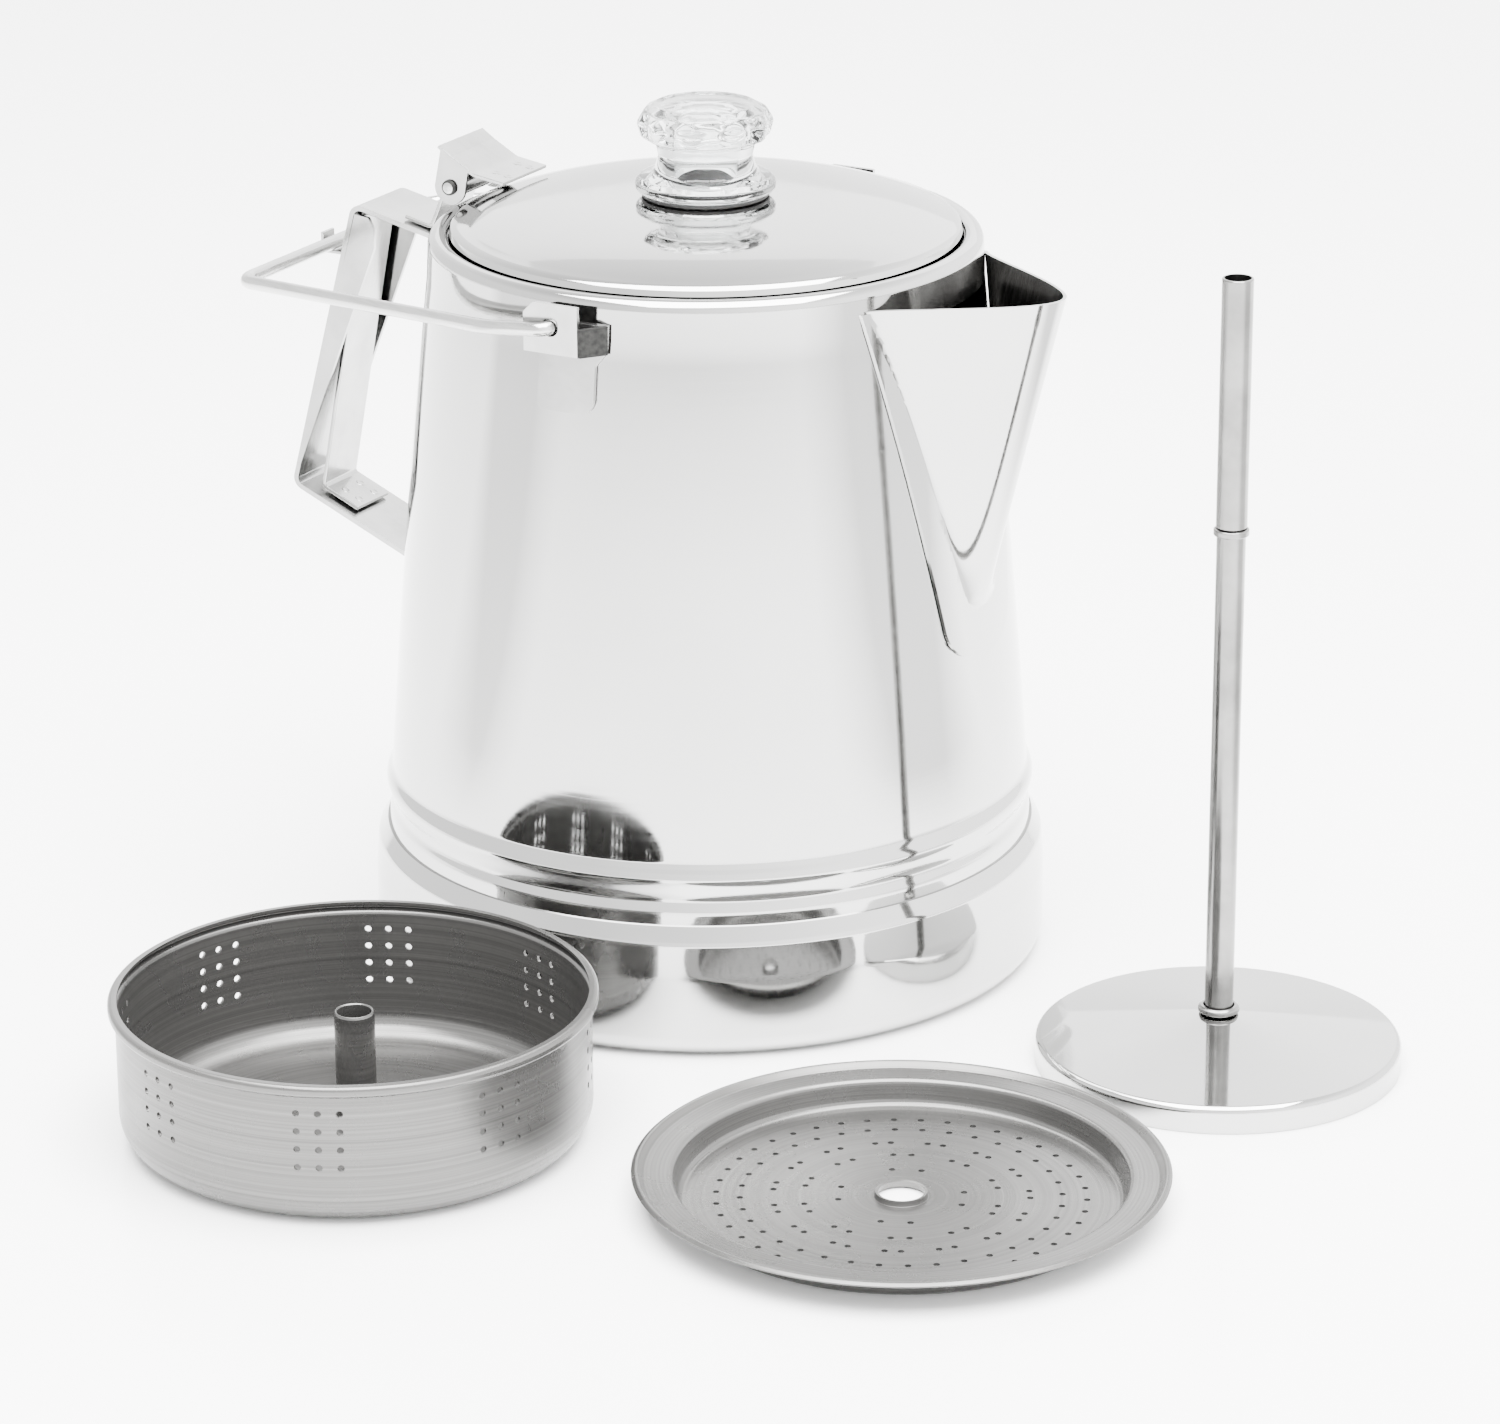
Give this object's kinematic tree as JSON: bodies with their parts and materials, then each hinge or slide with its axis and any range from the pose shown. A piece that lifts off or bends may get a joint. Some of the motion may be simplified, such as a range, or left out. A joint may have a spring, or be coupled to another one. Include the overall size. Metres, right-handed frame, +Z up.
{
  "type": "coffee percolator",
  "caption": "Tall stainless camp percolator with hinged lid, glass knob, V spout, strap handle and wire bail, its basket, spreader and pump laid out beside it.",
  "frame": {"origin": "centre of the flat underside of the pot's base, on the surface that everything stands on", "axes": "+Z up along the pot's axis, +X towards the spout, -X towards the strap handle, -Y towards the near bail ear and the loose basket"},
  "size_m": [0.3582, 0.3359, 0.2503],
  "materials": {
    "polished_steel": "mirror-polished stainless steel sheet",
    "satin_steel": "satin spun stainless steel sheet",
    "drawn_wire": "bright drawn stainless wire",
    "clear_glass": "clear pressed glass",
    "black_seal": "matte silicone"
  },
  "bodies": {
    "pot": {"pot_body": "polished_steel", "pot_base": "polished_steel", "spout": "polished_steel", "bail_ear_near": "polished_steel", "bail_ear_far": "polished_steel", "handle_strap": "polished_steel", "handle_brace": "polished_steel", "bail_rest": "polished_steel", "hinge_knuckle": "polished_steel", "hinge_pin": "drawn_wire"},
    "lid": {"lid_cover": "polished_steel", "lid_bracket": "polished_steel", "knob_seal": "black_seal"},
    "knob": {"glass_knob": "clear_glass"},
    "bail": {"bail_wire": "drawn_wire"},
    "basket": {"basket_cup": "satin_steel", "basket_tube": "satin_steel"},
    "spreader": {"spreader_plate": "satin_steel"},
    "pump": {"pump_base": "polished_steel", "pump_collar": "polished_steel", "pump_lower_tube": "polished_steel", "pump_stop_ring": "polished_steel", "pump_upper_tube": "polished_steel"}
  },
  "joints": [
    {"name": "lid_hinge", "type": "hinge", "parent": "pot", "child": "lid", "pos_m": [-0.0778, 0, 0.2188], "axis": [0, -1, 0], "range_deg": [0, 105]},
    {"name": "knob_twist", "type": "hinge", "parent": "lid", "child": "knob", "pos_m": [0, 0, 0.225], "axis": [0, 0, 1], "range_deg": [0, 90]},
    {"name": "bail_swing", "type": "hinge", "parent": "pot", "child": "bail", "pos_m": [0, 0, 0.2061], "axis": [0, 1, 0], "range_deg": [0, 185]},
    {"name": "basket_lift", "type": "slide", "parent": "pot", "child": "basket", "axis": [0, 0, 1], "range_m": [0, 0.12]},
    {"name": "spreader_lift", "type": "slide", "parent": "pot", "child": "spreader", "axis": [0, 0, 1], "range_m": [0, 0.12]},
    {"name": "pump_lift", "type": "slide", "parent": "pot", "child": "pump", "axis": [0, 0, 1], "range_m": [0, 0.12]}
  ]
}
